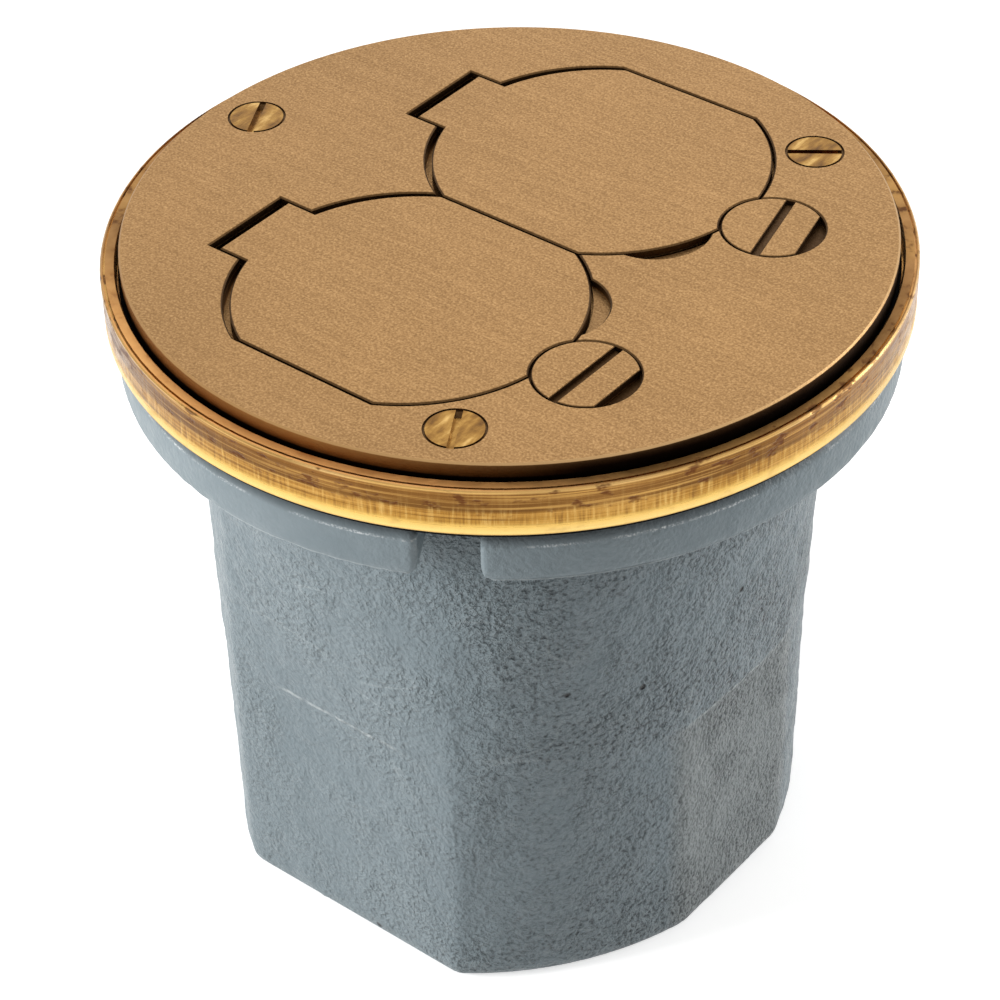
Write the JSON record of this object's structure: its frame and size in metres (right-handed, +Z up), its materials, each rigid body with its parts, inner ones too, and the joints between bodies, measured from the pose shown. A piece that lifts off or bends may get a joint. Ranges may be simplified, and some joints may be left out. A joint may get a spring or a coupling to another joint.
{
  "type": "floor socket box",
  "caption": "Round cast floor socket box with brass floor ring and cover, hinged lids with turning locks, and a duplex outlet inside.",
  "frame": {"origin": "centre of the box's underside", "axes": "+Z up through the cover; +X from the lid hinges to the lid locks; +Y along the duplex outlet"},
  "size_m": [0.1402, 0.1402, 0.1295],
  "materials": {
    "cast_iron_paint": "blue-grey painted casting, slightly pitted",
    "brass_cover": "satin, brushed along X",
    "brass_ring": "turned, clear lacquered",
    "brass_screw": "polished",
    "contact_brass": "rolled strip",
    "zinc_steel": "zinc plated",
    "stainless_pin": "drawn stainless rod",
    "rubber_gasket": "black sheet",
    "neoprene": "black closed-cell sheet",
    "device_plastic": "brown moulding, light gloss",
    "green_screw": "green passivated"
  },
  "bodies": {
    "box": {"box_body": "cast_iron_paint", "flange_gasket": "rubber_gasket", "floor_ring": "brass_ring", "ring_screws": "brass_screw", "cover_gasket": "rubber_gasket", "cover_plate": "brass_cover", "cover_screws": "brass_screw", "hinge_pin_a": "stainless_pin", "hinge_pin_b": "stainless_pin", "receptacle_face": "device_plastic", "receptacle_strap": "zinc_steel", "receptacle_base": "device_plastic", "line_contact": "contact_brass", "neutral_contact": "contact_brass", "ground_contact": "contact_brass", "terminal_screws_brass": "brass_screw", "terminal_screws_silver": "zinc_steel", "device_screws": "zinc_steel", "box_ground_screw": "green_screw", "conduit_plug": "cast_iron_paint"},
    "lid_a": {"lid_a": "brass_cover", "lid_pad_a": "neoprene"},
    "lock_a": {"lock_disc_a": "brass_screw", "lock_spring_a": "zinc_steel", "lock_stop_a": "zinc_steel", "lock_clip_a": "zinc_steel"},
    "lid_b": {"lid_b": "brass_cover", "lid_pad_b": "neoprene"},
    "lock_b": {"lock_disc_b": "brass_screw", "lock_spring_b": "zinc_steel", "lock_stop_b": "zinc_steel", "lock_clip_b": "zinc_steel"}
  },
  "joints": [
    {"name": "lid_a_hinge", "type": "hinge", "parent": "box", "child": "lid_a", "pos_m": [-0.032, 0.0263, 0.1269], "axis": [0, -1, 0], "range_deg": [0, 98]},
    {"name": "lid_b_hinge", "type": "hinge", "parent": "box", "child": "lid_b", "pos_m": [-0.032, -0.0263, 0.1269], "axis": [0, -1, 0], "range_deg": [0, 98]},
    {"name": "lock_a_turn", "type": "hinge", "parent": "box", "child": "lock_a", "pos_m": [0.0366, 0.0263, 0.1295], "axis": [0, 0, 1], "range_deg": [-14, 166]},
    {"name": "lock_b_turn", "type": "hinge", "parent": "box", "child": "lock_b", "pos_m": [0.0366, -0.0263, 0.1295], "axis": [0, 0, 1], "range_deg": [0, 180]}
  ]
}
